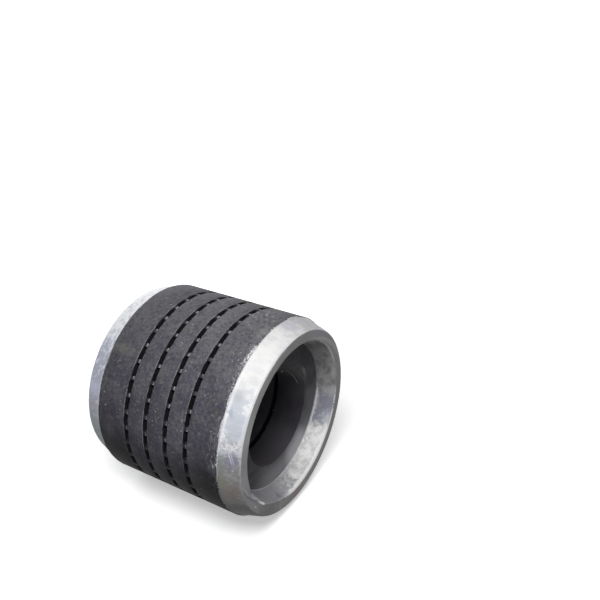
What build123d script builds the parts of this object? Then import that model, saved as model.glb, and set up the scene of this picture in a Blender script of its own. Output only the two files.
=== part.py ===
from build123d import *
from math import atan, cos, radians, tan
import os

# Rotor core of a squirrel-cage induction motor, lying on its side.
# Five packets of steel laminations stand apart along the shaft axis, so that
# air can blow out radially through the four ducts between them.
# An aluminium cage holds them together: a bar through every slot and a
# tapered end ring cast onto each end face.
# Millimetres. The shaft axis is X, the front end is +X, Z is up, and the
# origin is the middle of the bore.

# Lamination packets and the ducts between them
core_diameter = 430
bore_diameter = 220
inner_packet_length = 40
end_packet_length = 70
duct_width = 10
duct_count = 4

# Cage bars, each filling a closed slot
bar_count = 38
bar_top_width = 8
bar_root_width = 6
bar_depth_share = 0.4  # of the sheets' width from the bore to the core's surface
slot_bridge = 1.5  # steel left between the top of a slot and the core's surface
bar_skew = -7  # degrees about +X that a bar turns from the rear end to the front
first_bar_angle = 2.7  # degrees from +Y towards +Z, at the middle of the core

# Strips that hold each duct open, inwards of every second bar
spacer_width = 6
spacer_setback_share = 1 / 7  # of the sheets' width, from the bore to the strip
spacer_to_bar = 5
bars_per_spacer = 2

# Cast end rings
ring_length = 44
ring_step = 1.5  # how far the root of a ring lies below the core's surface
ring_lap = 11  # how far a ring reaches inwards past the roots of the bars
ring_outer_taper = 13.5  # fall of the outer side from the root to the rim
ring_inner_taper = 14.5  # rise of the inner side from the root to the rim
rim_chamfer = 2

# Sizes that follow
core_radius = core_diameter / 2
bore_radius = bore_diameter / 2
sheet_width = core_radius - bore_radius
core_length = 2 * end_packet_length + duct_count * duct_width
core_length += (duct_count - 1) * inner_packet_length
bar_top_radius = core_radius - slot_bridge
bar_root_radius = bar_top_radius - bar_depth_share * sheet_width
spacer_inner_radius = bore_radius + spacer_setback_share * sheet_width
spacer_outer_radius = bar_root_radius - spacer_to_bar
bar_pitch_angle = 360 / bar_count
sideways_rate = tan(radians(bar_skew)) * bar_top_radius / core_length
ring_root_outer_radius = core_radius - ring_step
ring_root_inner_radius = bar_root_radius - ring_lap
ring_face_outer_radius = ring_root_outer_radius - ring_outer_taper
ring_face_inner_radius = ring_root_inner_radius + ring_inner_taper


def leaning_strip(station, length, inner_radius, outer_radius, inner_width, outer_width):
    """A tapered radial section at the first bar's angle, carried along the core
    from X = station in a straight line that leans by the skew."""
    outwards = Vector(0, 1, 0).rotate(Axis.X, first_bar_angle)
    sideways = Vector(1, 0, 0).cross(outwards)
    lean = Vector(1, 0, 0) + sideways * sideways_rate
    start = lean * station
    with BuildPart() as strip:
        with BuildSketch(Plane(origin=start, x_dir=outwards, z_dir=(1, 0, 0))):
            with BuildLine():
                Polyline(
                    (inner_radius, -inner_width / 2),
                    (outer_radius, -outer_width / 2),
                    (outer_radius, outer_width / 2),
                    (inner_radius, inner_width / 2),
                    close=True,
                )
            make_face()
        extrude(amount=length / cos(atan(sideways_rate)), dir=lean)
    return strip.part


def around_shaft(piece, bars_apart=1):
    """Copies of a piece turned about the shaft axis from bar to bar."""
    turns = range(0, bar_count, bars_apart)
    return [piece.rotate(Axis.X, turn * bar_pitch_angle) for turn in turns]


def make_packet(rear_station, length, bars):
    """A stack of laminations with the bore and a closed slot around each bar."""
    with BuildPart() as packet:
        with BuildSketch(Plane.YZ.offset(rear_station)):
            Circle(core_radius)
            Circle(bore_radius, mode=Mode.SUBTRACT)
        extrude(amount=length)
        add(bars, mode=Mode.SUBTRACT)
    return packet.part


def make_spacers(duct_station):
    """The radial strips that stand in one duct."""
    strip = leaning_strip(
        duct_station,
        duct_width,
        spacer_inner_radius,
        spacer_outer_radius,
        spacer_width,
        spacer_width,
    )
    return around_shaft(strip, bars_per_spacer)


def make_end_ring(side):
    """The tapered ring on one end face: side is 1 at the front and -1 at the rear."""
    root = side * core_length / 2
    rim = root + side * ring_length
    with BuildPart() as ring:
        with BuildSketch(Plane.XY) as section:
            with BuildLine():
                Polyline(
                    (root, ring_root_inner_radius),
                    (root, ring_root_outer_radius),
                    (rim, ring_face_outer_radius),
                    (rim, ring_face_inner_radius),
                    close=True,
                )
            make_face()
            rim_corners = section.vertices().filter_by_position(Axis.X, rim, rim)
            chamfer(rim_corners, rim_chamfer)
        revolve(axis=Axis.X)
    return ring.part


pieces = {}

bar = leaning_strip(
    -core_length / 2, core_length, bar_root_radius, bar_top_radius, bar_root_width, bar_top_width
)
bars = around_shaft(bar)
for number, bar_copy in enumerate(bars, start=1):
    pieces[f"bar_{number:02d}"] = bar_copy

spacers = []
station = -core_length / 2
for number in range(1, duct_count + 2):
    at_end = number in (1, duct_count + 1)
    length = end_packet_length if at_end else inner_packet_length
    pieces[f"packet_{number}"] = make_packet(station, length, bars)
    station += length
    if number <= duct_count:
        spacers += make_spacers(station)
        station += duct_width
pieces["duct_spacers"] = Compound(children=spacers)

pieces["end_ring_front"] = make_end_ring(1)
pieces["end_ring_rear"] = make_end_ring(-1)

os.makedirs("parts", exist_ok=True)
for name, piece in pieces.items():
    piece.label = name
    export_step(piece, f"parts/{name}.step")
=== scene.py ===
# %% [markdown]
# # The rotor core of a large induction motor
#
# The object is the part of a motor that turns: five packets of thin steel
# sheets with an aluminium cage cast through and around them. It lies on its
# side on the floor, and there is no shaft in it yet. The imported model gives
# every size. This lesson adds what the solids leave out: the slots' metal
# showing in the air ducts, worn edges, casting flash, turning marks, stains.

import math
import random

import bmesh
import bpy
from mathutils import Matrix, Vector, noise


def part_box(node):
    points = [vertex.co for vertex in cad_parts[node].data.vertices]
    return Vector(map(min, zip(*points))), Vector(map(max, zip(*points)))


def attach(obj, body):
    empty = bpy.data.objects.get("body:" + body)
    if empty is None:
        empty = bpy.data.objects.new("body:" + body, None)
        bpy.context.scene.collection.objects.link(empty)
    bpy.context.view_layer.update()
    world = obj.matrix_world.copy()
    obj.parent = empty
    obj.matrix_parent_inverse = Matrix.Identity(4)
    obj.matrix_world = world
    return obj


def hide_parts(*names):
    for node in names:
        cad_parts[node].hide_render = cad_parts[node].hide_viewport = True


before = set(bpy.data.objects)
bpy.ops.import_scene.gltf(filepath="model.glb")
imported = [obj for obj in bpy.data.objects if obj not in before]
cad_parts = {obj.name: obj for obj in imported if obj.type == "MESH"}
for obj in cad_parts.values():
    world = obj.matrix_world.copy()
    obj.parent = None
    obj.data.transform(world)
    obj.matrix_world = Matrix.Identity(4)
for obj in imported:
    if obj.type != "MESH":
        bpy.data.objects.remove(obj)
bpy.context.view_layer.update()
MM = 0.001

# %% [markdown]
# ## Sizes taken from the model
#
# The packets' own boxes say where each stack starts and ends along the shaft
# axis, X. What a box can't tell, such as how deep a bar goes, is named here
# once in millimetres and turned to metres where it is used.

# %% Sizes
PACKETS = [f"packet_{number}" for number in range(1, 6)]
packet_ends = [(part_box(name)[0].x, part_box(name)[1].x) for name in PACKETS]
ducts = [(left[1], right[0]) for left, right in zip(packet_ends, packet_ends[1:])]
core_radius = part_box("packet_1")[1].z
core_end = packet_ends[-1][1]
rim_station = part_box("end_ring_front")[1].x
bore_radius = 110 * MM
bar_count = 38
bar_top, bar_root = 213.5 * MM, 171.5 * MM
bar_top_width, bar_root_width = 8 * MM, 6 * MM
strip_inner, strip_outer, strip_width = 125 * MM, 166.5 * MM, 6 * MM
first_bar = math.radians(2.7)
bar_pitch = math.radians(360 / bar_count)
twist_rate = math.radians(-7) / (2 * core_end)
print("ducts (mm):", [(round(a / MM), round(b / MM)) for a, b in ducts])

# %% [markdown]
# ## Camera
#
# The photograph looks down on the core from its front left. Lens and place
# were found by fitting the packets' ends and both rims to the picture.

# %% Camera
camera = bpy.data.objects.new("camera", bpy.data.cameras.new("camera"))
camera.data.lens = 42.98
camera.location = (0.82388, -1.03765, 0.89066)
camera.rotation_euler = (math.radians(90 - 26.59), 0, math.radians(30.87))
bpy.context.scene.collection.objects.link(camera)
bpy.context.scene.camera = camera

# %% [markdown]
# ## Shader maths as Python
#
# A pattern is a sum of simple masks, so it reads best as a formula. `Value`
# wraps a socket, and each operator on it adds one Math node. `Nodes` makes
# every other node of a tree, and `Paint` adds what a material needs.

# %% A socket that takes part in formulas
class Value:
    def __init__(self, nodes, socket):
        self.nodes, self.socket = nodes, socket

    def math(self, operation, *others):
        return self.nodes.math(operation, self, *others)

    def __add__(self, other): return self.math("ADD", other)
    def __sub__(self, other): return self.math("SUBTRACT", other)
    def __mul__(self, other): return self.math("MULTIPLY", other)
    def __truediv__(self, other): return self.math("DIVIDE", other)
    def __pow__(self, other): return self.math("POWER", other)
    def __rsub__(self, other): return self.nodes.math("SUBTRACT", other, self)
    def __abs__(self): return self.math("ABSOLUTE")
    __radd__, __rmul__ = __add__, __mul__

    def between(self, low, high):
        """0 below low, 1 above high and smooth between; high may be the lower."""
        settings = {"interpolation_type": "SMOOTHSTEP"}
        sockets = {"Value": self, "From Min": low, "From Max": high}
        return self.nodes.node("MapRange", settings, sockets)

    def other(self, name):
        """Another output of the same node."""
        return Value(self.nodes, self.socket.node.outputs[name])


# %% The nodes of a tree
class Nodes:
    def __init__(self, tree):
        self.tree = tree

    def put(self, socket, value):
        if isinstance(value, Value):
            self.tree.links.new(value.socket, socket)
        elif isinstance(value, tuple) and socket.type == "RGBA":
            socket.default_value = (*value, 1)
        else:
            socket.default_value = value

    def node(self, kind, settings={}, sockets={}, out=0):
        node = self.tree.nodes.new("ShaderNode" + kind)
        for name, value in settings.items():
            setattr(node, name, value)
        for name, value in sockets.items():
            self.put(node.inputs[name], value)
        return Value(self, node.outputs[out])

    def math(self, operation, *values):
        return self.node("Math", {"operation": operation}, dict(enumerate(values)))

    def largest(self, first, *others):
        for other in others:
            first = self.math("MAXIMUM", first, other)
        return first

    def mix(self, mask, first, second):
        settings = {"data_type": "RGBA"}
        return self.node("Mix", settings, {0: mask, 6: first, 7: second}, 2)

    def seen_directly(self):
        """1 for the rays of the camera, of mirrors and of glass."""
        rays = self.node("LightPath", out="Is Camera Ray")
        return self.largest(rays, rays.other("Is Glossy Ray"), rays.other("Is Transmission Ray"))


# %% A material
class Paint(Nodes):
    def __init__(self, name):
        self.material = bpy.data.materials.new(name)
        self.material.use_nodes = True
        super().__init__(self.material.node_tree)
        self.surface = self.tree.nodes["Principled BSDF"]
        self.place = self.node("TexCoord", out="Object")
        self.x, self.y, self.z = [self.part(self.place, axis) / MM for axis in "XYZ"]
        self.facing = abs(self.part(self.place.other("Normal"), "X"))

    def part(self, vector, axis):
        return self.node("SeparateXYZ", {}, {0: vector}, axis)

    def vector(self, x, y, z):
        return self.node("CombineXYZ", {}, {0: x, 1: y, 2: z})

    def noise(self, size, detail=3.0, at=None, roughness=0.55):
        """Cloudy values from 0 to 1 with blots of about the given size in mm."""
        at = at or self.vector(self.x, self.y, self.z)
        sockets = {"Vector": at, "Scale": 1 / size, "Detail": detail, "Roughness": roughness}
        return self.node("TexNoise", {}, sockets)

    def specks(self, spacing, share, radius):
        """Round specks: a share of the cells has one, of random size."""
        at = self.vector(self.x, self.y, self.z)
        cells = self.node("TexVoronoi", {}, {"Vector": at, "Scale": 1 / spacing}, "Distance")
        away = cells * spacing
        pick = self.part(cells.other("Color"), "X")
        size = (pick - (1 - share)) / share * radius
        return (size - away).between(0, radius * 0.5)

    def bump(self, height, distance, strength=1.0):
        sockets = {"Height": height, "Distance": distance, "Strength": strength}
        return self.node("Bump", {}, sockets)

    def finish(self, **sockets):
        for name, value in sockets.items():
            self.put(self.surface.inputs[name.replace("_", " ")], value)
        return self.material


# %% [markdown]
# ## Where things are on a round part
#
# Stains and scratches sit at a place along the shaft and an angle around it.
# Outside, the angle is 0 on the side that faces the camera and 90 degrees on
# top. Inside the rings it is the far side that shows, so there the angle is
# counted from the far side. A broad change from top to bottom needs no
# angle: the height on the round part gives it, alike on both sides.

# %% Cylinder coordinates and marks
def angle_outside(paint):
    return paint.math("ARCTAN2", paint.z, 0 - paint.y) * (180 / math.pi)


def angle_inside(paint):
    return paint.math("ARCTAN2", paint.z, paint.y) * (180 / math.pi)


def from_axis(paint):
    return (paint.y * paint.y + paint.z * paint.z) ** 0.5


def towards(paint, angle):
    """1 in a direction, counted as inside the rings, and falling to -1 opposite."""
    turn = math.radians(angle)
    return (paint.y * math.cos(turn) + paint.z * math.sin(turn)) / from_axis(paint)


def mark(paint, angle, station, width, angle_at, height, ragged=0.5, size=9.0, scale=None):
    """A ragged oval at an angle and a station in mm, along X or another scale, as a mask."""
    along = ((scale or paint.x) - station) / width
    across = (angle - angle_at) / height
    away = (along * along + across * across) ** 0.5
    edge = paint.noise(size, 4) * 2 - 1
    return (away + edge * ragged * 2).between(1.15, 0.15)


# %% [markdown]
# ## Laminations
#
# The packets are stacks of half-millimetre sheets. Their outside was turned
# in a lathe, which smears the edges into a dull violet grey, and every sheet
# still shows as a hair line. Specks of the cage's aluminium stick to it. The
# sheets' lines are a pattern of X alone, and the stains have a set place.

# %% Lamination steel
def turned_steel(paint, height, grain, turned):
    """The colour of the core's outside, with painted light on top and painted shade underneath."""
    sheet = paint.node("TexWhiteNoise", {"noise_dimensions": "1D"}, {"W": paint.math("FLOOR", paint.x * 2)})
    cloudy = paint.noise(38, 4)
    spots = paint.noise(6.5, 3, roughness=0.6)
    base = paint.mix(cloudy.between(0.32, 0.68), (0.074, 0.069, 0.089), (0.12, 0.115, 0.133))
    # Painted light: the top of the core is painted lighter.
    base = paint.mix(height.between(0.6, 0.97) * 0.6, base, (0.164, 0.162, 0.172))
    patchy = paint.noise(17, 5, roughness=0.6)
    base = paint.mix(patchy.between(0.54, 0.66) * height.between(0.2, 0.6) * 0.5, base, (0.135, 0.145, 0.12))
    base = paint.mix(patchy.between(0.47, 0.35) * 0.55, base, (0.062, 0.055, 0.08))
    base = paint.mix(spots.between(0.5, 0.34) * 0.58, base, (0.042, 0.04, 0.051))
    base = paint.mix(spots.between(0.56, 0.68) * 0.65, base, (0.215, 0.213, 0.227))
    base = paint.mix(grain.between(0.5, 0.7) * 0.38, base, (0.2, 0.196, 0.208))
    base = paint.mix(turned.between(0.58, 0.75) * 0.35, base, (0.18, 0.175, 0.185))
    base = paint.mix(sheet * 0.2, base, (0.045, 0.042, 0.05))
    # Painted shade: the lower part of the core is painted near black, less so on the middle packets.
    painted_low_shade = height + (cloudy - 0.5) * 0.5 + 0.07 - abs(paint.x).between(15, 110) * 0.19
    base = paint.mix(painted_low_shade.between(0.15, -0.42) * 0.93, base, (0.0145, 0.0145, 0.0135))
    base = paint.mix(paint.x.between(40, -120) * 0.2, base, (0.03, 0.028, 0.034))
    # Painted shade: the rear end of the core is painted near black underneath.
    rear_underside_shade = paint.x.between(-60, -110) * height.between(-0.28, -0.45)
    return paint.mix(rear_underside_shade * 0.75, base, (0.008, 0.008, 0.009))


def core_marks(paint, base, grain):
    """Stains, a painted highlight near the top, and painted highlights on the edges beside the ducts."""
    angle = angle_outside(paint)
    smudge = mark(paint, angle, -127, 40, 46.5, 3.8, 0.4, 14)
    base = paint.mix(smudge * 0.5, base, (0.17, 0.178, 0.155))
    # Painted highlight: a patchy light sheen near the top of the front packets.
    painted_top_highlight = mark(paint, angle, 104, 44, 99, 17, 0.5, 12) * paint.noise(7, 4).between(0.52, 0.66)
    base = paint.mix(painted_top_highlight * 0.7, base, (0.4, 0.39, 0.4))
    base = paint.mix(mark(paint, angle, 138, 16, 82, 9, 0.6, 12) * 0.4, base, (0.3, 0.3, 0.3))
    dust = mark(paint, angle, 42, 15, 75, 14, 0.6, 12) * paint.noise(4.5, 3).between(0.54, 0.64)
    base = paint.mix(dust * 0.5, base, (0.36, 0.36, 0.36))
    streaks = paint.noise(1.0, 3, paint.vector(paint.x / 1.5, paint.y / 14, paint.z / 14))
    scraped = mark(paint, angle, 142, 15, 12, 26, 0.3) * streaks.between(0.52, 0.64)
    base = paint.mix(scraped * 0.65, base, (0.36, 0.37, 0.4))
    base = paint.mix(mark(paint, angle, 142.2, 1.8, 3.9, 1.7, 0.3, 3), base, (0.6, 0.6, 0.62))
    crumbs = mark(paint, angle, 147, 9, 55, 22, 0.5, 6) * paint.noise(2.6, 4, roughness=0.7).between(0.53, 0.6)
    base = paint.mix(crumbs * 0.85, base, (0.62, 0.62, 0.64))
    thick = mark(paint, angle, 148, 6, 65, 7, 0.6, 5) * paint.noise(3.4, 4, roughness=0.7).between(0.44, 0.52)
    base = paint.mix(thick * 0.9, base, (0.85, 0.85, 0.87))
    # Painted highlight: a light line along the front edge of the packet behind each duct, on the upper half only.
    edges = [abs(paint.x - (start / MM - 0.7)).between(1.6, 0.9) for start, end in ducts]
    duct_edge_highlight = paint.largest(*edges) * grain.between(0.35, 0.55) * from_axis(paint).between(213.8, 214.3)
    duct_edge_highlight = duct_edge_highlight * paint.noise(24, 3).between(0.42, 0.56) * (paint.z / core_radius * MM).between(-0.25, 0.1)
    return paint.mix(duct_edge_highlight * 0.6, base, (0.34, 0.34, 0.36))


def stamped_steel(paint, height, cloudy):
    """The flat end faces: near black in the ducts as painted shade, and lighter where the ring's metal shines on them,
    as painted light.
    """
    base = paint.mix(cloudy.between(0.35, 0.65), (0.095, 0.092, 0.1), (0.14, 0.136, 0.145))
    # Painted light: lighter patches on the lower part of the end face, towards its outer edge.
    outwards = from_axis(paint).between(90, 145)
    base = paint.mix(towards(paint, -19).between(0.92, 0.99) * outwards * 0.38, base, (0.3, 0.3, 0.325))
    base = paint.mix(towards(paint, -79).between(0.53, 0.97) * outwards * 0.85, base, (0.415, 0.415, 0.44))
    base = paint.mix(towards(paint, -61).between(0.93, 0.998) * outwards * 0.8, base, (0.74, 0.72, 0.76))
    # Painted highlight: a soft light patch on the end face at the bore's upper edge.
    bore_edge_highlight = mark(paint, angle_inside(paint), 119, 7, 27, 10, 0.4, 8, from_axis(paint))
    base = paint.mix(bore_edge_highlight * 0.6, base, (0.42, 0.42, 0.43))
    # Painted shade: the end faces inside the ducts are near black.
    return paint.mix(abs(paint.x).between(110, 90), base, (0.019, 0.017, 0.021))


def lamination_steel():
    paint = Paint("lamination_steel")
    radius = from_axis(paint)
    height = paint.z / radius
    end_face = paint.facing.between(0.8, 0.95)
    in_bore = radius.between(112, 110.5)
    turned = paint.noise(1.0, 3, paint.vector(paint.x / 1.6, paint.y / 60, paint.z / 60))
    grain = paint.noise(3.2, 4, roughness=0.7)
    cloudy = paint.noise(30, 4)

    base = core_marks(paint, turned_steel(paint, height, grain, turned), grain)
    spatter = paint.specks(5, 0.5, 1.2) * paint.x.between(132, 147)
    bright = paint.largest(paint.specks(9, 0.3, 1.3) * 0.8, paint.specks(4.2, 0.3, 0.8) * 0.6,
                           paint.specks(15, 0.35, 2.8) * 0.55, spatter)
    crowded = paint.noise(36, 3).between(0.38, 0.56) * 0.75 + 0.25
    bright = bright * crowded * (1 - end_face) * (1 - in_bore) * height.between(-0.35, 0.1)
    base = paint.mix(bright * 0.65, base, (0.42, 0.42, 0.44))

    base = paint.mix(end_face, base, stamped_steel(paint, height, cloudy))
    # The bore's wall is painted dark as shade; lit lightens it where light reaches in, and a painted pool of light
    # lies on the upper wall of the front packet's bore.
    hollow = paint.mix(cloudy.between(0.3, 0.7), (0.046, 0.042, 0.051), (0.06, 0.056, 0.066))
    hollow = paint.mix(turned.between(0.5, 0.75) * 0.3, hollow, (0.1, 0.095, 0.108))
    lit = paint.largest(paint.x.between(72, 66), height.between(-0.45, 0.25), height.between(-0.65, -0.9) * 0.6)
    hollow = paint.mix(lit, hollow, (0.11, 0.103, 0.115))
    hollow = paint.mix(height.between(0.15, 0.5) * paint.x.between(72, 80), hollow, (0.34, 0.34, 0.345))
    base = paint.mix(in_bore * (1 - end_face), base, hollow)

    lines = paint.math("PINGPONG", paint.x, 0.25) * 4
    relief = (lines * 0.25 + turned * 0.8) * (1 - in_bore * 0.7) + grain * 0.8 + bright * 1.5
    return paint.finish(
        Base_Color=base,
        Metallic=0.0,
        Specular_IOR_Level=0.07,
        Roughness=0.62 + grain * 0.15 - bright * 0.15,
        Normal=paint.bump(relief, 0.0002, 0.7),
    )


# %% [markdown]
# ## Cast aluminium
#
# The rings are raw castings, turned only on the rim. Each has three skins.
# The outer side is light grey with a painted highlight on top, turns
# blue-grey half way down and is dark and brownish underneath, where the
# dark is painted shade. The inner side is darker grey, with a painted pool
# of light low on the far side where the lamp falls. The rim is
# lathe-turned, and its two corners carry painted highlights. The
# photograph shows only the far half of the inner side, so its zones are
# folded over onto the near half.

# %% The outer side of a ring
def outer_side(paint, height):
    angle = angle_outside(paint)
    blots, small = paint.noise(26, 4), paint.noise(7, 5, roughness=0.66)
    drift = height + (paint.noise(11, 5, roughness=0.6) - 0.5) * 0.34
    bands = paint.noise(1.0, 3, paint.vector(paint.x / 70, paint.y / 9, paint.z / 9))
    base = paint.mix(blots.between(0.35, 0.68), (0.66, 0.66, 0.67), (0.78, 0.78, 0.765))
    base = paint.mix(bands.between(0.48, 0.62) * 0.4, base, (0.8, 0.79, 0.76))
    base = paint.mix(bands.between(0.5, 0.38) * 0.35, base, (0.6, 0.6, 0.64))
    base = paint.mix(small.between(0.56, 0.7) * 0.3, base, (0.6, 0.61, 0.63))
    # Painted highlight: the top of the front ring's outer side is painted near white.
    base = paint.mix(height.between(0.72, 0.86) * angle.between(94, 82) * 0.2, base, (0.97, 0.97, 0.96))
    base = paint.mix(drift.between(0.78, 0.62) * 0.9, base, (0.56, 0.59, 0.66))
    base = paint.mix(drift.between(0.78, 0.62) * bands.between(0.5, 0.62) * 0.5, base, (0.68, 0.72, 0.78))
    strips = paint.largest(paint.x.between(158, 155), paint.x.between(186, 190) * 0.6) * height.between(0.2, 0.32)
    base = paint.mix(strips * height.between(0.92, 0.7) * 0.6, base, (0.9, 0.9, 0.91))
    base = paint.mix(mark(paint, angle, 162, 14, 43, 4.5, 0.3) * 0.6, base, (0.46, 0.47, 0.49))
    base = paint.mix(mark(paint, angle, 186, 10, 38, 4, 0.7, 6) * 0.9, base, (0.85, 0.85, 0.85))
    base = paint.mix(mark(paint, angle, 156, 7, 22, 4, 0.8, 5) * 0.9, base, (0.92, 0.92, 0.95))
    base = paint.mix(mark(paint, angle, 154, 5, 32, 3, 0.8, 5) * 0.9, base, (0.92, 0.92, 0.95))
    base = paint.mix(mark(paint, angle, 183, 9, 16.5, 3, 0.8, 5) * 0.8, base, (0.9, 0.9, 0.92))
    base = paint.mix(mark(paint, angle, 160, 9, 34, 3, 0.7, 6) * 0.6, base, (0.38, 0.42, 0.5))
    curds = paint.noise(6, 4, roughness=0.65).between(0.4, 0.58)
    curds = paint.mix(curds, (0.45, 0.45, 0.48), (0.88, 0.87, 0.9))
    base = paint.mix(mark(paint, angle, 172, 34, 17, 5.5, 0.6, 8) * 0.85, base, curds)
    base = paint.mix(mark(paint, angle, 170, 50, 112, 26, 0.4, 12) * 0.7, base, (0.46, 0.45, 0.48))
    base = paint.mix(mark(paint, angle, 166, 20, 96, 5, 0.5, 8) * 0.5, base, (0.52, 0.49, 0.6))
    base = paint.mix(mark(paint, angle, 170, 3, 102, 0.9, 0.1), base, (0.8, 0.8, 0.8))

    rear = paint.mix(drift.between(0.66, 0.86), (0.46, 0.485, 0.575), (0.84, 0.85, 0.87))
    swirl = paint.noise(9, 5, roughness=0.6)
    rear = paint.mix(swirl.between(0.5, 0.4) * 0.5, rear, (0.4, 0.415, 0.47))
    rear = paint.mix(swirl.between(0.52, 0.64) * 0.75, rear, (0.8, 0.81, 0.9))
    rear = paint.mix(mark(paint, angle, -176, 26, 20, 5, 0.6), rear, (0.58, 0.6, 0.74))
    rear = paint.mix(mark(paint, angle, -172, 30, 9, 7, 0.4) * 0.7, rear, (0.45, 0.43, 0.46))
    root_strip = paint.x.between(-157, -153) * height.between(-0.2, 0.05) * height.between(0.6, 0.35)
    rear = paint.mix(root_strip * 0.65, rear, (0.82, 0.83, 0.87))
    # Painted shade: the rear ring is darker below the middle.
    rear = paint.mix(drift.between(0.1, -0.07), rear, (0.38, 0.43, 0.42))
    base = paint.mix(paint.x.between(0, -1), base, rear)

    # Painted shade: the lower part of the front ring's outer side is painted dark grey, near black underneath.
    shaded_below = drift.between(0.26, 0.16)
    skin = paint.mix(small.between(0.4, 0.65), (0.3, 0.3, 0.3), (0.42, 0.422, 0.43))
    skin = paint.mix(bands.between(0.52, 0.42) * 0.4, skin, (0.24, 0.225, 0.21))
    skin = paint.mix(height.between(-0.3, -0.5) * 0.95, skin, (0.078, 0.079, 0.084))
    base = paint.mix(shaded_below * paint.x.between(-1, 0), base, skin)
    streaks = paint.noise(1.0, 4, paint.vector((paint.x + paint.z) / 2.2, (paint.x - paint.z) / 26, paint.y / 26))
    base = paint.mix(mark(paint, angle, 156, 9, 6, 7, 0.5) * 0.6, base, (0.27, 0.3, 0.31))
    base = paint.mix(mark(paint, angle, 177, 14, 9, 6, 0.6, 7) * 0.75, base, (0.27, 0.26, 0.4))
    slant = paint.x + angle * 1.22 - 187
    scratch = paint.largest(abs(slant).between(1.4, 0.5), abs(slant - 4).between(1.2, 0.4) * 0.7)
    scratch = scratch * angle.between(6, 9) * angle.between(22, 19)
    base = paint.mix(scratch * 0.75, base, (0.8, 0.8, 0.87))
    base = paint.mix(mark(paint, angle, 179.5, 1.5, 3.3, 0.5, 0.2, 3), base, (0.7, 0.72, 0.8))
    crossed = mark(paint, angle, 170, 28, 11, 7, 0.5) * streaks.between(0.56, 0.66)
    base = paint.mix(crossed * 0.8, base, (0.66, 0.66, 0.74))
    base = paint.mix(mark(paint, angle, 158, 12, -6, 8, 0.4) * 0.7, base, (0.27, 0.28, 0.19))
    base = paint.mix(mark(paint, angle, 182, 12, -10, 5, 0.5) * 0.6, base, (0.32, 0.26, 0.2))
    return paint.mix(mark(paint, angle, 170, 22, -15, 11, 0.5) * 0.65, base, (0.27, 0.215, 0.2))


# %% The inner side of a ring
def inner_side(paint, height):
    folded = paint.math("ARCTAN2", paint.z, abs(paint.y)) * (180 / math.pi)
    near_side = paint.y.between(-108, -138)
    angle = angle_inside(paint) * (1 - near_side) + folded * near_side
    blots = paint.noise(12, 5, roughness=0.62)
    small = paint.noise(8, 4, roughness=0.6)
    drift = angle + (blots - 0.5) * 16
    clouds = paint.noise(1.0, 5, paint.vector(paint.x / 13, paint.y / 28, paint.z / 28), 0.6)
    base = paint.mix(blots.between(0.35, 0.65), (0.3, 0.3, 0.305), (0.4, 0.4, 0.405))
    base = paint.mix(clouds.between(0.52, 0.4) * 0.7, base, (0.21, 0.21, 0.215))
    base = paint.mix(small.between(0.52, 0.7) * 0.3, base, (0.47, 0.47, 0.475))
    base = paint.mix(angle.between(17, 26) * angle.between(44, 36) * 0.5, base, (0.56, 0.56, 0.56))
    base = paint.mix(mark(paint, angle, 158, 12, 45, 11, 0.6, 8) * 0.5, base, (0.19, 0.19, 0.21))
    base = paint.mix(mark(paint, angle, 180, 8, 28, 4, 0.8, 6) * 0.6, base, (0.16, 0.16, 0.165))
    base = paint.mix(mark(paint, angle, 180, 7, 11, 4, 0.8, 6) * 0.6, base, (0.2, 0.2, 0.2))
    base = paint.mix(mark(paint, angle, 188, 5, 11, 6, 0.8, 6) * 0.6, base, (0.6, 0.6, 0.6))
    cool = drift.between(-4, -14) * drift.between(-48, -36)
    base = paint.mix(cool * 0.85, base, (0.28, 0.285, 0.35))
    base = paint.mix(cool * small.between(0.54, 0.66) * 0.6, base, (0.54, 0.54, 0.6))
    base = paint.mix(mark(paint, angle, 182, 20, -9, 6, 0.7, 7) * 0.55, base, (0.55, 0.55, 0.57))
    base = paint.mix(mark(paint, angle, 186, 16, -31, 9, 0.8, 8) * 0.7, base, (0.7, 0.7, 0.76))
    base = paint.mix(mark(paint, angle, 154, 6, -18, 14, 0.7, 7) * 0.7, base, (0.7, 0.7, 0.7))
    root_line = abs(paint.x - 153.5 - (small - 0.5) * 5).between(1.8, 0.7) * angle.between(-5, -10) * angle.between(-46, -38)
    base = paint.mix(root_line * 0.8, base, (0.92, 0.92, 0.94))
    # Painted light: a bright pool low on the far inner side, where the key lamp falls, brightest towards the rim.
    lit_patch = drift.between(-33, -39) * drift.between(-112, -92)
    soft, crumbs = paint.noise(18, 6, roughness=0.66), paint.noise(3.4, 4, roughness=0.7)
    white = paint.mix(soft.between(0.36, 0.64), (0.95, 0.95, 0.95), (0.66, 0.655, 0.64))
    white = paint.mix(blots.between(0.52, 0.7) * 0.3, white, (0.5, 0.49, 0.47))
    white = paint.mix(crumbs.between(0.52, 0.64) * 0.5, white, (0.97, 0.97, 0.97))
    white = paint.mix(crumbs.between(0.45, 0.32) * 0.45, white, (0.4, 0.4, 0.39))
    # Painted shade at the lower end of the bright pool.
    low = drift.between(-66, -86) * (blots.between(0.42, 0.58) * 0.4 + 0.4)
    white = paint.mix(low, white, (0.3, 0.295, 0.32))
    base = paint.mix(lit_patch, base, white)
    base = paint.mix(lit_patch * (paint.x + (small - 0.5) * 12).between(184, 190), base, (0.97, 0.97, 0.96))
    base = paint.mix(mark(paint, angle, 172, 16, -81, 5, 0.5) * 0.85, base, (0.92, 0.92, 0.92))
    below = drift.between(-94, -108)
    base = paint.mix(below * 0.75, base, (0.33, 0.325, 0.35))
    return paint.mix(mark(paint, angle, 180, 10, -108, 3, 0.7, 6) * 0.45, base, (0.13, 0.12, 0.2))


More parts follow.
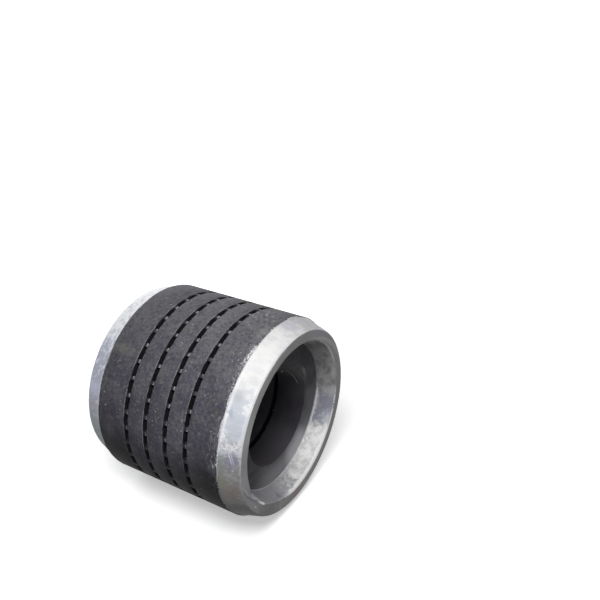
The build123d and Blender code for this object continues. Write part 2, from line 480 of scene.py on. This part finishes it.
# %% Cast aluminium
def cast_aluminium():
    paint = Paint("cast_aluminium")
    radius = from_axis(paint)
    height = paint.z / radius
    inside = radius.between(186, 182)
    rim = paint.facing.between(0.9, 0.97)
    corner = paint.facing.between(0.4, 0.6) * paint.facing.between(0.95, 0.85) * radius.between(166, 170)
    small, grain = paint.noise(7, 4, roughness=0.65), paint.noise(1.8, 3)
    turned = paint.noise(1.0, 2, paint.vector(radius / 0.9, paint.y / 80, paint.z / 80))

    base = paint.mix(inside, outer_side(paint, height), inner_side(paint, height))
    base = paint.mix(grain.between(0.55, 0.8) * 0.2, base, (0.4, 0.4, 0.42))
    # Painted highlight: light lines along the rim's inner and outer corners.
    corner_highlight = corner * small.between(0.36, 0.5)
    lit_inner_corners = paint.largest(height.between(0.05, -0.25) * (paint.y / radius).between(-0.5, 0.1),
                            height.between(0.2, 0.5) * 0.7) * inside
    corner_highlight = corner_highlight * paint.largest(lit_inner_corners, (1 - inside) * (0.3 + height.between(-0.1, 0.2) * 0.5))
    base = paint.mix(corner_highlight * (0.6 + inside * 0.3), base, (0.85, 0.85, 0.85))
    face = paint.mix(turned * 0.5 + grain * 0.3, (0.4, 0.4, 0.395), (0.48, 0.48, 0.475))
    face = paint.mix(paint.noise(20, 4).between(0.45, 0.65) * 0.5, face, (0.34, 0.34, 0.35))
    face = paint.mix(paint.y.between(-100, 170) * 0.55, face, (0.3, 0.29, 0.285))
    face = paint.mix(height.between(0.9, 0.98) * 0.4, face, (0.25, 0.25, 0.25))
    face = paint.mix((paint.y / radius).between(-0.75, -0.92) * height.between(0.1, 0.4) * 0.45, face, (0.7, 0.7, 0.7))
    angle = angle_outside(paint)
    face = paint.mix(mark(paint, angle, 194, 30, -54, 24, 0.3, 14) * 0.75, face, (0.19, 0.185, 0.18))
    face = paint.mix(mark(paint, angle, 194, 30, -24, 13, 0.4, 8) * 0.45, face, (0.3, 0.3, 0.31))
    face = paint.mix(mark(paint, angle, 194, 30, -93, 24, 0.4, 12) * 0.5, face, (0.34, 0.265, 0.26))
    face = paint.mix(mark(paint, angle, 194, 30, -102, 10, 0.4, 12) * 0.55, face, (0.46, 0.41, 0.41))
    # Painted highlight: patchy light on the rim's rounded outer edge, where it faces the key lamp.
    lit_patch = radius.between(190, 199) * angle.between(32, 45) * angle.between(88, 76) * small.between(0.4, 0.5)
    face = paint.mix(lit_patch * 0.55, face, (0.75, 0.75, 0.75))
    face = paint.mix(mark(paint, angle, 188.4, 2.8, -35.2, 1.3, 0.2, 3, radius), face, (0.85, 0.85, 0.85))
    face = paint.mix(mark(paint, angle, 194, 30, -7, 14, 0.4, 10) * 0.4, face, (0.52, 0.51, 0.56))
    off_crest = angle - (radius * 1.14 - 230.6)
    torn = angle.between(-8, -12) * angle.between(-38, -33)
    lumps = paint.noise(3.6, 4, roughness=0.7).between(0.42, 0.56)
    # The torn dent gets painted shade beside its crest and a painted highlight along the crest.
    face = paint.mix(abs(off_crest + 5).between(4, 1.5) * torn * 0.5, face, (0.22, 0.22, 0.225))
    face = paint.mix(abs(off_crest).between(4.5, 1.5) * torn * lumps * 0.8, face, (0.7, 0.7, 0.7))
    face = paint.mix(mark(paint, angle, 191, 13, 120, 15, 0.4, 8, radius) * 0.6, face, (0.37, 0.355, 0.42))
    # Painted highlight: a light band slanting across the rim face on the upper far side.
    rim_face_highlight = abs(radius - angle * 0.41 - 130).between(6, 2) * angle.between(95, 105) * angle.between(172, 150)
    face = paint.mix(rim_face_highlight * 0.5, face, (0.62, 0.62, 0.62))
    base = paint.mix(rim, base, face)

    relief = small * 0.6 * (1 - rim) + grain * 0.5 + turned * rim * 0.7
    return paint.finish(
        Base_Color=base,
        Metallic=0.05,
        Specular_IOR_Level=0.2,
        Roughness=0.5 + small * 0.2,
        Normal=paint.bump(relief, 0.0004, 0.6),
    )


# %% Flash and stuck drops
def flash_aluminium():
    paint = Paint("flash_aluminium")
    grain = paint.noise(2.0, 4)
    radius = from_axis(paint)
    height = paint.z / radius
    # Painted shade: the inner bead is dark on its upper part, and the outer fin on its lower part.
    inner_top_shade = radius.between(190, 180) * radius.between(130, 140) * height.between(-0.5, -0.1)
    low = radius.between(180, 190) * height.between(0.15, -0.15)
    base = paint.mix(grain.between(0.3, 0.7), (0.42, 0.42, 0.44), (0.8, 0.8, 0.81))
    base = paint.mix(paint.largest(inner_top_shade, low) * 0.85, base, (0.13, 0.13, 0.14))
    return paint.finish(
        Base_Color=base,
        Metallic=0.1,
        Specular_IOR_Level=0.3,
        Roughness=0.4 + grain * 0.2,
        Normal=paint.bump(grain, 0.0003, 0.6),
    )


def drop_aluminium():
    paint = Paint("drop_aluminium")
    grain = paint.noise(1.5, 4)
    base = paint.mix(grain.between(0.3, 0.7), (0.16, 0.16, 0.175), (0.4, 0.4, 0.42))
    return paint.finish(
        Base_Color=base,
        Metallic=0.0,
        Specular_IOR_Level=0.2,
        Roughness=0.55 + grain * 0.2,
        Normal=paint.bump(grain, 0.0002, 0.6),
    )


# %% Bar metal and spacer steel
def duct_aluminium():
    paint = Paint("duct_aluminium")
    radius = from_axis(paint)
    height = paint.z / radius
    grain = paint.noise(1.6, 4)
    base = paint.mix(grain.between(0.3, 0.7), (0.055, 0.052, 0.062), (0.085, 0.081, 0.092))
    # Painted shadow: the rear part of each land, next to the packet behind the duct, is painted darker.
    back_side_shadows = [abs(paint.x - (start / MM + 2.5)).between(4.5, 2.5) for start, end in ducts]
    base = paint.mix(paint.largest(*back_side_shadows) * 0.82, base, (0.02, 0.019, 0.023))
    # A bead of metal along each land's front edge, painted light, partly as its own bright aluminium and partly as a
    # painted highlight.
    front_sides = [abs(paint.x - (end / MM - 2.6)).between(2.2, 0.8) for start, end in ducts]
    bead = paint.largest(*front_sides) * radius.between(214, 214.6) * paint.noise(6, 2).between(0.42, 0.55)
    base = paint.mix(bead * 0.7, base, (0.42, 0.42, 0.44))
    # Painted shade: the lands are near black on the lower half, and the bars below the lands are dark down in the
    # ducts.
    base = paint.mix(height.between(0.35, -0.15) * 0.93, base, (0.012, 0.011, 0.013))
    base = paint.mix(radius.between(212, 205), base, (0.03, 0.029, 0.033))
    return paint.finish(
        Base_Color=base,
        Metallic=0.0,
        Specular_IOR_Level=0.1,
        Roughness=0.55 + grain * 0.2,
        Normal=paint.bump(grain, 0.0003, 0.6),
    )


def spacer_steel():
    paint = Paint("spacer_steel")
    rolled = paint.noise(1.0, 3, paint.vector(paint.x / 9, paint.y / 1.5, paint.z / 1.5))
    rust = paint.noise(12, 4).between(0.5, 0.7)
    base = paint.mix(rolled, (0.12, 0.115, 0.125), (0.22, 0.21, 0.225))
    base = paint.mix(rust * 0.4, base, (0.12, 0.075, 0.045))
    return paint.finish(
        Base_Color=base,
        Metallic=0.5,
        Roughness=0.5 + rolled * 0.2,
        Normal=paint.bump(rolled, 0.0002, 0.5),
    )


LAMINATIONS = lamination_steel()
CAST = cast_aluminium()
FLASH = flash_aluminium()
DROPS = drop_aluminium()
DUCT_METAL = duct_aluminium()
SPACER = spacer_steel()
print("materials:", [material.name for material in bpy.data.materials])

# %% [markdown]
# ## Making a piece
#
# Every piece is drawn in a bmesh and then becomes one object at the origin.
# The last step is the same for all: merge the doubles, turn the faces
# outwards, shade smooth except at sharp edges, and hide the imported parts
# that it stands for.

# %% From a bmesh to a piece
def make_piece(name, bm, material, nodes, sharp=30):
    bmesh.ops.remove_doubles(bm, verts=bm.verts, dist=0.01 * MM)
    bmesh.ops.recalc_face_normals(bm, faces=bm.faces)
    for face in bm.faces:
        face.smooth = True
    for edge in bm.edges:
        if len(edge.link_faces) == 2:
            edge.smooth = edge.calc_face_angle(0) < math.radians(sharp)
    mesh = bpy.data.meshes.new(name)
    bm.to_mesh(mesh)
    bm.free()
    mesh.materials.append(material)
    piece = bpy.data.objects.new(name, mesh)
    bpy.context.scene.collection.objects.link(piece)
    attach(piece, "root")
    if nodes:
        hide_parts(*nodes)
    print(name, len(mesh.polygons), "faces")
    return piece


def turn(bm, verts, angle):
    rotation = Matrix.Rotation(angle, 3, "X")
    bmesh.ops.rotate(bm, verts=verts, cent=(0, 0, 0), matrix=rotation)


def place_of(vert):
    """Distance from the shaft axis, and the outside angle in degrees."""
    return math.hypot(*vert.co.yz), math.degrees(math.atan2(vert.co.z, -vert.co.y))


def keep_in_box(vert):
    """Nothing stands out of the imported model's box."""
    limits = (rim_station, core_radius, core_radius)
    for axis, limit in enumerate(limits):
        vert.co[axis] = max(-limit, min(limit, vert.co[axis]))


# %% [markdown]
# ## Packets
#
# A sheet is a disc with the bore and 38 closed slots. It could be cut with
# booleans, but loops filled in one step give clean faces: draw the circles
# and the slots flat, fill between them, and extrude the sheet to its packet.
# The extruded end turns a little, because the slots follow the skewed bars.
# A small bevel stands for the edge that handling wears round, and a slow
# noise wears it back unevenly beside the ducts.

# %% Packets of laminations
def slot_outline(bm, station):
    """One slot's four corners at the first bar, drawn as a loop at a station."""
    square = bmesh.ops.create_circle(bm, segments=4, radius=1)["verts"]
    corners = [
        (bar_root, -bar_root_width / 2), (bar_top, -bar_top_width / 2),
        (bar_top, bar_top_width / 2), (bar_root, bar_root_width / 2),
    ]
    for vert, (out, side) in zip(square, corners):
        vert.co = (station, out, side)
    turn(bm, square, first_bar + twist_rate * station)
    return square


def wear_edges(bm, start, end):
    for vert in bm.verts:
        radius, angle = place_of(vert)
        if radius > core_radius - 1 * MM and abs(vert.co.x) < core_end - 2 * MM:
            wear = max(0, noise.noise(vert.co / (9 * MM))) + max(0, noise.noise(vert.co / (4 * MM)))
            vert.co.x += math.copysign(1.5 * MM * wear, (start + end) / 2 - vert.co.x)


def make_packet(name, start, end):
    bm = bmesh.new()
    upright = Matrix.Rotation(math.radians(90), 4, "Y")
    for radius, segments in ((core_radius, 380), (bore_radius, 190)):
        circle = bmesh.ops.create_circle(bm, segments=segments, radius=radius, matrix=upright)
        bmesh.ops.translate(bm, verts=circle["verts"], vec=(start, 0, 0))
    for number in range(bar_count):
        slot = slot_outline(bm, start)
        turn(bm, slot, bar_pitch * number)
    bmesh.ops.triangle_fill(bm, edges=bm.edges, use_beauty=True)
    raised = bmesh.ops.extrude_face_region(bm, geom=bm.faces[:])["geom"]
    far = [item for item in raised if isinstance(item, bmesh.types.BMVert)]
    bmesh.ops.translate(bm, verts=far, vec=(end - start, 0, 0))
    turn(bm, far, twist_rate * (end - start))
    bmesh.ops.recalc_face_normals(bm, faces=bm.faces)
    corners = [
        edge for edge in bm.edges
        if edge.calc_face_angle(0) > 1 and abs(edge.verts[0].co.x - edge.verts[1].co.x) < 0.1 * MM
        and place_of(edge.verts[0])[0] > core_radius - 0.1 * MM
    ]
    bmesh.ops.bevel(bm, geom=corners, offset=0.7 * MM, segments=2, profile=0.5,
                    affect="EDGES", material=-1)
    wear_edges(bm, start, end)
    return make_piece(name + "_sheets", bm, LAMINATIONS, [name])


for packet_name, (start, end) in zip(PACKETS, packet_ends):
    make_packet(packet_name, start, end)

# %% [markdown]
# ## Cage bars
#
# Each bar is a long tapered wedge in its slot. It shows only where it crosses
# a duct, and there its metal reaches a little further out, flush with the
# core, with a rounded top. One bar is cut at the ducts' sides, raised there,
# and then copied around the shaft.

# %% Cage bars
def one_bar(bm):
    bmesh.ops.create_cube(bm, size=1)
    bmesh.ops.scale(bm, verts=bm.verts, vec=(2 * core_end, 1, 1))
    for vert in bm.verts:
        outer = vert.co.y > 0
        side = math.copysign((bar_top_width if outer else bar_root_width) / 2, vert.co.z)
        vert.co.yz = (bar_top if outer else bar_root, side)
    for duct in ducts:
        for station in duct:
            bmesh.ops.bisect_plane(bm, geom=bm.verts[:] + bm.edges[:] + bm.faces[:],
                                   plane_co=(station, 0, 0), plane_no=(1, 0, 0))
    lands = [
        face for face in bm.faces
        if face.normal.y > 0.5 and any(a < face.calc_center_median().x < b for a, b in ducts)
    ]
    for land in lands:
        raised = bmesh.ops.extrude_face_region(bm, geom=[land])["geom"]
        top = [item for item in raised if isinstance(item, bmesh.types.BMVert)]
        bmesh.ops.translate(bm, verts=top, vec=(0, core_radius - 0.3 * MM - bar_top, 0))
        bmesh.ops.delete(bm, geom=[land], context="FACES_ONLY")


def copies_around(bm, count):
    """The piece drawn so far, twisted along the skew and copied around the shaft."""
    for vert in bm.verts:
        vert.co = Matrix.Rotation(first_bar + twist_rate * vert.co.x, 3, "X") @ vert.co
    drawn = bm.verts[:] + bm.edges[:] + bm.faces[:]
    full_turn = bar_pitch * bar_count
    bmesh.ops.spin(bm, geom=drawn, axis=(1, 0, 0), cent=(0, 0, 0), steps=count - 1,
                   angle=full_turn * (count - 1) / count, use_duplicate=True)


def make_bars():
    bm = bmesh.new()
    one_bar(bm)
    bm.normal_update()
    tops = [
        edge for edge in bm.edges
        if min(vert.co.y for vert in edge.verts) > core_radius - 0.4 * MM
        and abs(edge.verts[0].co.x - edge.verts[1].co.x) > 1 * MM
    ]
    bmesh.ops.bevel(bm, geom=tops, offset=1.2 * MM, segments=3, profile=0.5,
                    affect="EDGES", material=-1)
    copies_around(bm, bar_count)
    return make_piece("cage_bars", bm, DUCT_METAL,
                      [f"bar_{number:02d}" for number in range(1, bar_count + 1)])


make_bars()

# %% [markdown]
# ## Spacer strips
#
# A strip of rolled steel stands in each duct inwards of every second bar and
# keeps it open. Rolled strip has soft corners, so each one is a bevelled
# block. The strips of all four ducts are drawn first and copied together.

# %% Spacer strips
def make_strips():
    bm = bmesh.new()
    for start, end in ducts:
        strip = bmesh.ops.create_cube(bm, size=1)["verts"]
        bmesh.ops.scale(bm, verts=strip, vec=(end - start, strip_outer - strip_inner, strip_width))
        bmesh.ops.translate(bm, verts=strip, vec=((start + end) / 2, (strip_inner + strip_outer) / 2, 0))
    bmesh.ops.bevel(bm, geom=bm.edges[:], offset=0.6 * MM, segments=2, profile=0.5,
                    affect="EDGES", material=-1)
    copies_around(bm, bar_count // 2)
    return make_piece("spacer_strips", bm, SPACER, ["duct_spacers"])


make_strips()

# %% [markdown]
# ## End rings
#
# A ring is one section spun about the shaft. The section's rim corners are
# rounded first, as the casting's are, and its long sides are cut into short
# edges, so that the skin can be pushed in by a fraction of a millimetre here
# and there. A cast surface is never quite even. The front rim took
# a blow low on the left: a torn dent across the face, and in the inner corner
# a notch with a lip of pushed metal beside it.

# %% End rings
def bruise_rim(vert):
    """A torn dent across the face, and at the inner corner a notch and a lip below it."""
    radius, angle = place_of(vert)
    depth = rim_station - vert.co.x
    if depth > 10 * MM or radius > 200 * MM:
        return
    rough = noise.noise(vert.co / (4 * MM))
    corner = max(0, 1 - ((radius - 174 * MM) / (9 * MM)) ** 2) * (1 - depth / (10 * MM))
    notch = max(0, 1 - ((angle + 24) / 7) ** 2)
    lip = max(0, 1 - ((angle + 64) / 21) ** 2)
    out = (5.0 + 3 * rough) * notch - (5.5 + 2.5 * rough) * lip
    vert.co.yz = vert.co.yz * (1 + corner * out * MM / radius)
    vert.co.x -= corner * (1.6 + 2 * rough) * max(notch, 0.5 * lip) * MM
    if depth < 1 * MM:
        dent = max(0, 1 - ((angle + 25) / 15) ** 2) * max(0, 1 - ((radius / MM - 186) / 13) ** 2)
        crest_angle = 1.14 * (radius / MM - 190) - 14
        crest = max(0, 1 - ((angle - crest_angle) / 3.5) ** 2)
        vert.co.x -= dent * (2.0 + 1.6 * rough) * (1 - crest) * MM


def ring_section(bm, side):
    """The ring's outline with rounded rim corners and short edges."""
    section = [
        (core_end, 160.5 * MM), (core_end, core_radius - 1.5 * MM),
        (rim_station, 200 * MM), (rim_station, 175 * MM),
    ]
    verts = [bm.verts.new((side * x, 0, radius)) for x, radius in section]
    bm.faces.new(verts)
    bmesh.ops.bevel(bm, geom=verts[2:], offset=2.1 * MM, segments=1, profile=0.5,
                    affect="VERTICES", material=-1)
    bmesh.ops.bevel(bm, geom=bm.verts[:], offset=0.5 * MM, segments=2, profile=0.5,
                    affect="VERTICES", material=-1)
    outline = bm.edges[:]
    bmesh.ops.delete(bm, geom=bm.faces[:], context="FACES_ONLY")
    for edge in outline:
        cuts = int(edge.calc_length() / (4 * MM))
        if cuts:
            bmesh.ops.subdivide_edges(bm, edges=[edge], cuts=cuts)


def spin_round(bm, steps):
    bmesh.ops.spin(bm, geom=bm.verts[:] + bm.edges[:], axis=(1, 0, 0), cent=(0, 0, 0),
                   steps=steps, angle=math.radians(360), use_merge=True)
    bmesh.ops.remove_doubles(bm, verts=bm.verts, dist=0.01 * MM)


def make_ring(name, side, seed):
    bm = bmesh.new()
    ring_section(bm, side)
    spin_round(bm, 480)
    bmesh.ops.recalc_face_normals(bm, faces=bm.faces)
    bm.normal_update()
    shift = Vector((seed, 0, 0))
    for vert in bm.verts:
        waves = noise.noise(vert.co / (30 * MM) + shift) + 0.5 * noise.noise(vert.co / (8 * MM) + shift)
        if abs(vert.normal.x) < 0.9:
            vert.co -= vert.normal * (0.35 * MM) * (0.7 + waves) / 1.4
        if side > 0:
            bruise_rim(vert)
        keep_in_box(vert)
    return make_piece(name + "_casting", bm, CAST, [name], sharp=45)


make_ring("end_ring_front", 1, 3.1)
make_ring("end_ring_rear", -1, 8.7)

# %% [markdown]
# ## Flash and stuck metal
#
# Molten metal creeps into the joint between mould and core, and leaves a
# ragged fin along the ring's root, outside and inside. Drops of it also stick
# to the core. The fin is a small section spun round, whose tip then wanders
# along the core and dies out in places. The drops are flattened spheres of a
# few faces, strewn by a seeded draw.

# %% Flash at the rings' roots
def reach_at(vert, seed):
    """How far the fin reaches at this place around the ring, from about -1 to 1."""
    place = Vector((seed, vert.co.y, vert.co.z)) / MM
    return noise.noise(place / 45) + 0.7 * noise.noise(place / 9) + 0.6 * noise.noise(place / 3)


def make_flash(name, side, seed):
    bm = bmesh.new()
    section = [(1.6, -1.4), (0.6, -0.5), (-0.2, 0.05), (-0.9, 0.3), (-0.9, -0.5), (0.3, -1.6)]
    verts = [bm.verts.new((side * (core_end + x * MM), 0, core_radius + rise * MM)) for x, rise in section]
    for first, second in zip(verts, verts[1:] + verts[:1]):
        bm.edges.new((first, second))
    spin_round(bm, 540)
    for vert in bm.verts:
        reach = reach_at(vert, seed)
        if abs(vert.co.x) < core_end:
            vert.co.x -= side * max(-0.8, 2.0 * reach) * MM
        if reach < 0.05:
            vert.co.yz = vert.co.yz * (1 - 1.1 * MM / core_radius)
        keep_in_box(vert)
    return make_piece(name, bm, FLASH, [])


def make_bead(name, side, seed):
    """The thinner bead inside, where the ring's inner side meets the sheets."""
    bm = bmesh.new()
    tilt = Matrix.Rotation(math.radians(90), 4, "X")
    bmesh.ops.create_circle(bm, segments=7, radius=0.9 * MM, matrix=tilt)
    bmesh.ops.translate(bm, verts=bm.verts, vec=(side * (core_end + 0.5 * MM), 0, 160.9 * MM))
    spin_round(bm, 360)
    for vert in bm.verts:
        grow = 1.2 * reach_at(vert, seed)
        vert.co.x += side * max(-0.5, grow) * MM if abs(vert.co.x) > core_end + 0.5 * MM else 0
        vert.co.yz = vert.co.yz * (1 - max(-0.4, grow) * 0.6 * MM / (160 * MM))
    return make_piece(name, bm, FLASH, [])


make_flash("flash_front", 1, 5.3)
make_flash("flash_rear", -1, 2.2)
make_bead("bead_front", 1, 7.7)
make_bead("bead_rear", -1, 1.4)

# %% Drops of aluminium on the core
def make_drops():
    bm = bmesh.new()
    draw = random.Random(11)
    spans = [(start + 2 * MM, end - 2 * MM) for start, end in packet_ends]
    for number in range(170):
        station = draw.uniform(*draw.choice(spans + spans[3:]))
        size = draw.uniform(0.5, 1.0 + 0.7 * draw.random() ** 3) * MM
        drop = bmesh.ops.create_icosphere(bm, subdivisions=2, radius=size)["verts"]
        bmesh.ops.scale(bm, verts=drop, vec=(draw.uniform(0.7, 2.0), draw.uniform(0.7, 1.6), 0.3))
        bmesh.ops.translate(bm, verts=drop, vec=(station, 0, core_radius + 0.02 * MM))
        turn(bm, drop, math.radians(draw.uniform(0, 360)))
    for vert in bm.verts:
        vert.co += vert.co.normalized() * 0.12 * MM * noise.noise(vert.co / (0.6 * MM))
        keep_in_box(vert)
    return make_piece("stuck_drops", bm, DROPS, [])


make_drops()

# %% [markdown]
# ## A curl of swarf in the bore
#
# A thin turning clings to the wall of the bore, with a blob at one end. It is
# a small circle carried step by step along a bent path on the wall.

# %% Swarf
def make_swarf():
    bm = bmesh.new()
    wall = bore_radius - 0.7 * MM
    upright = Matrix.Rotation(math.radians(90), 4, "Y")
    ring = bmesh.ops.create_circle(bm, segments=6, radius=0.55 * MM, matrix=upright)["verts"]
    bmesh.ops.translate(bm, verts=ring, vec=(95 * MM, -wall, 0))
    turn(bm, ring, math.radians(-160.6))
    edges = bm.edges[:]
    steps = 22
    for number in range(steps):
        along = number / steps
        grown = bmesh.ops.extrude_edge_only(bm, edges=edges)["geom"]
        verts = [item for item in grown if isinstance(item, bmesh.types.BMVert)]
        edges = [item for item in grown if isinstance(item, bmesh.types.BMEdge)]
        edges = [edge for edge in edges if all(vert in verts for vert in edge.verts)]
        bmesh.ops.translate(bm, verts=verts, vec=(38 / steps * MM, 0, 0))
        turn(bm, verts, -math.radians((68.4 * along - 21) / steps))
    blob = bmesh.ops.create_icosphere(bm, subdivisions=2, radius=2.2 * MM)["verts"]
    bmesh.ops.translate(bm, verts=blob, vec=(95 * MM, -bore_radius + 0.8 * MM, 0))
    turn(bm, blob, math.radians(-160.6))
    return make_piece("swarf", bm, FLASH, [])


make_swarf()

# %% [markdown]
# ## Floor and light
#
# The floor is white and plain. Camera rays see it a little brighter than the
# light alone would make it, more so far away where the lamp doesn't reach,
# but the part's shadow stays. To all other rays it is grey, so that it
# doesn't throw light up under the core.

# %% Floor
def white_floor():
    paint = Paint("white_floor")
    seen = paint.seen_directly()
    away = (from_axis(paint) ** 2 + paint.x * paint.x) ** 0.5
    glow = paint.mix(away.between(350, 1500), (0.45, 0.45, 0.45), (0.9, 0.9, 0.9))
    return paint.finish(
        Base_Color=paint.mix(seen, (0.1, 0.1, 0.1), (0.95, 0.95, 0.95)),
        Roughness=0.9,
        Emission_Color=paint.mix(seen, (0, 0, 0), glow),
        Emission_Strength=1.0,
    )


bm = bmesh.new()
bmesh.ops.create_grid(bm, x_segments=1, y_segments=1, size=20)
bmesh.ops.translate(bm, verts=bm.verts, vec=(0, 0, -core_radius))
mesh = bpy.data.meshes.new("floor")
bm.to_mesh(mesh)
bm.free()
mesh.materials.append(white_floor())
floor = bpy.data.objects.new("floor", mesh)
bpy.context.scene.collection.objects.link(floor)

# %% [markdown]
# Two round lamps and a faint sky give plain, soft light: the key from above the
# camera's left shoulder as in the photograph, and a weaker fill from behind,
# so that the far side can be judged too. The white background is seen by the
# camera and by mirrors, and doesn't light anything.

# %% Light
world = bpy.data.worlds.new("sky")
bpy.context.scene.world = world
world.use_nodes = True
sky = Nodes(world.node_tree)
soft = sky.node("Background", {}, {"Color": (0.94, 0.96, 1), "Strength": 0.13})
white = sky.node("Background", {}, {"Color": (1, 1, 1), "Strength": 1.0})
light = sky.node("MixShader", {}, {0: sky.seen_directly(), 1: soft, 2: white})
sky.put(sky.tree.nodes["World Output"].inputs["Surface"], light)


def softbox(name, towards, distance, size, energy):
    """A round lamp that shines on the core from a direction."""
    lamp = bpy.data.objects.new(name, bpy.data.lights.new(name, "AREA"))
    lamp.data.shape = "DISK"
    lamp.data.size = size
    lamp.data.energy = energy
    lamp.location = Vector((core_end, 0, 0)) + towards.normalized() * distance
    lamp.rotation_euler = towards.to_track_quat("Z", "Y").to_euler()
    bpy.context.scene.collection.objects.link(lamp)


softbox("key", Vector((0.2, -0.5, 0.85)), 1.9, 0.9, 30)
softbox("fill", Vector((-0.75, 0.6, 0.35)), 2.6, 1.4, 20)
bpy.context.scene.view_settings.view_transform = "Standard"
